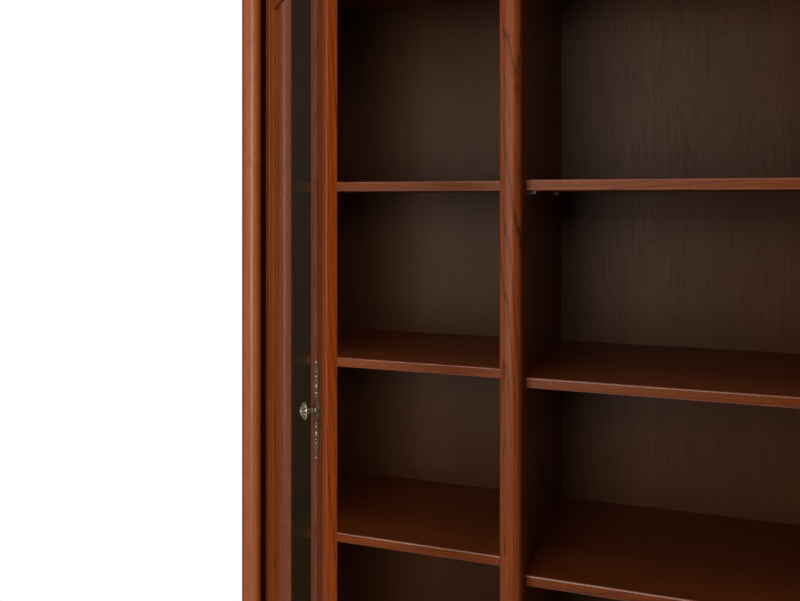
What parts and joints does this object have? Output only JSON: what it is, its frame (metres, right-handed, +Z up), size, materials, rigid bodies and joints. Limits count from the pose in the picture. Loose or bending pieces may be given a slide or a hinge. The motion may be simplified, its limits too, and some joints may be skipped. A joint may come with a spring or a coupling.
{
  "type": "display cabinet",
  "caption": "Tall veneered display cabinet with a bay of shelves behind a framed glass door on pivot hinges, beside an open bay of shelves.",
  "frame": {"origin": "on the floor under the middle of the body, on the underside of the plinth's centre bearer", "axes": "+X to the right seen from the front, +Y to the back, +Z up"},
  "size_m": [1.0478, 0.7264, 1.8879],
  "materials": {
    "chestnut_veneer": "satin lacquered reddish brown veneer",
    "back_board": "dark brown veneered thin board",
    "antique_brass": "aged, dark in the recesses",
    "plated_steel": "bright plated",
    "clear_glass": "clear, polished",
    "brown_plastic": "moulded",
    "dark_plastic": "moulded"
  },
  "bodies": {
    "carcass": {"side_panel_left": "chestnut_veneer", "side_panel_right": "chestnut_veneer", "front_post_left": "chestnut_veneer", "front_post_centre": "chestnut_veneer", "front_post_right": "chestnut_veneer", "centre_divider": "chestnut_veneer", "bottom_panel": "chestnut_veneer", "top_panel": "chestnut_veneer", "back_panel_left": "back_board", "back_panel_right": "back_board", "top_rail_left": "chestnut_veneer", "top_rail_right": "chestnut_veneer", "bottom_rail_left": "chestnut_veneer", "bottom_rail_right": "chestnut_veneer", "shelf_left_1": "chestnut_veneer", "shelf_left_2": "chestnut_veneer", "shelf_left_3": "chestnut_veneer", "shelf_left_4": "chestnut_veneer", "shelf_right_1": "chestnut_veneer", "shelf_right_2": "chestnut_veneer", "shelf_right_3": "chestnut_veneer", "shelf_right_4": "chestnut_veneer", "plinth_front": "chestnut_veneer", "plinth_left": "chestnut_veneer", "plinth_right": "chestnut_veneer", "plinth_back": "chestnut_veneer", "plinth_centre": "chestnut_veneer", "glide_left_front": "dark_plastic", "glide_left_rear": "dark_plastic", "glide_right_front": "dark_plastic", "glide_right_rear": "dark_plastic", "cornice_front": "chestnut_veneer", "cornice_left": "chestnut_veneer", "cornice_right": "chestnut_veneer", "cornice_back": "chestnut_veneer", "cornice_cap": "chestnut_veneer", "hinge_top_case_leaf": "antique_brass", "hinge_bottom_case_leaf": "antique_brass", "catch_body": "brown_plastic", "catch_magnet": "plated_steel", "catch_screw_1": "plated_steel", "catch_screw_2": "plated_steel"},
    "door": {"door_stile_hinge": "chestnut_veneer", "door_stile_free": "chestnut_veneer", "door_rail_top": "chestnut_veneer", "door_rail_bottom": "chestnut_veneer", "door_glass": "clear_glass", "glazing_stop_top": "chestnut_veneer", "glazing_stop_bottom": "chestnut_veneer", "glazing_stop_hinge": "chestnut_veneer", "glazing_stop_free": "chestnut_veneer", "hinge_top_door_leaf": "antique_brass", "hinge_bottom_door_leaf": "antique_brass", "knob_plate": "antique_brass", "knob": "antique_brass", "knob_screw": "plated_steel", "strike_plate": "plated_steel", "strike_screw": "plated_steel"}
  },
  "joints": [
    {"name": "door_hinge", "type": "hinge", "parent": "carcass", "child": "door", "pos_m": [-0.4325, -0.1875, 0.9575], "axis": [0, 0, -1], "range_deg": [-50.85, 54.15]}
  ]
}
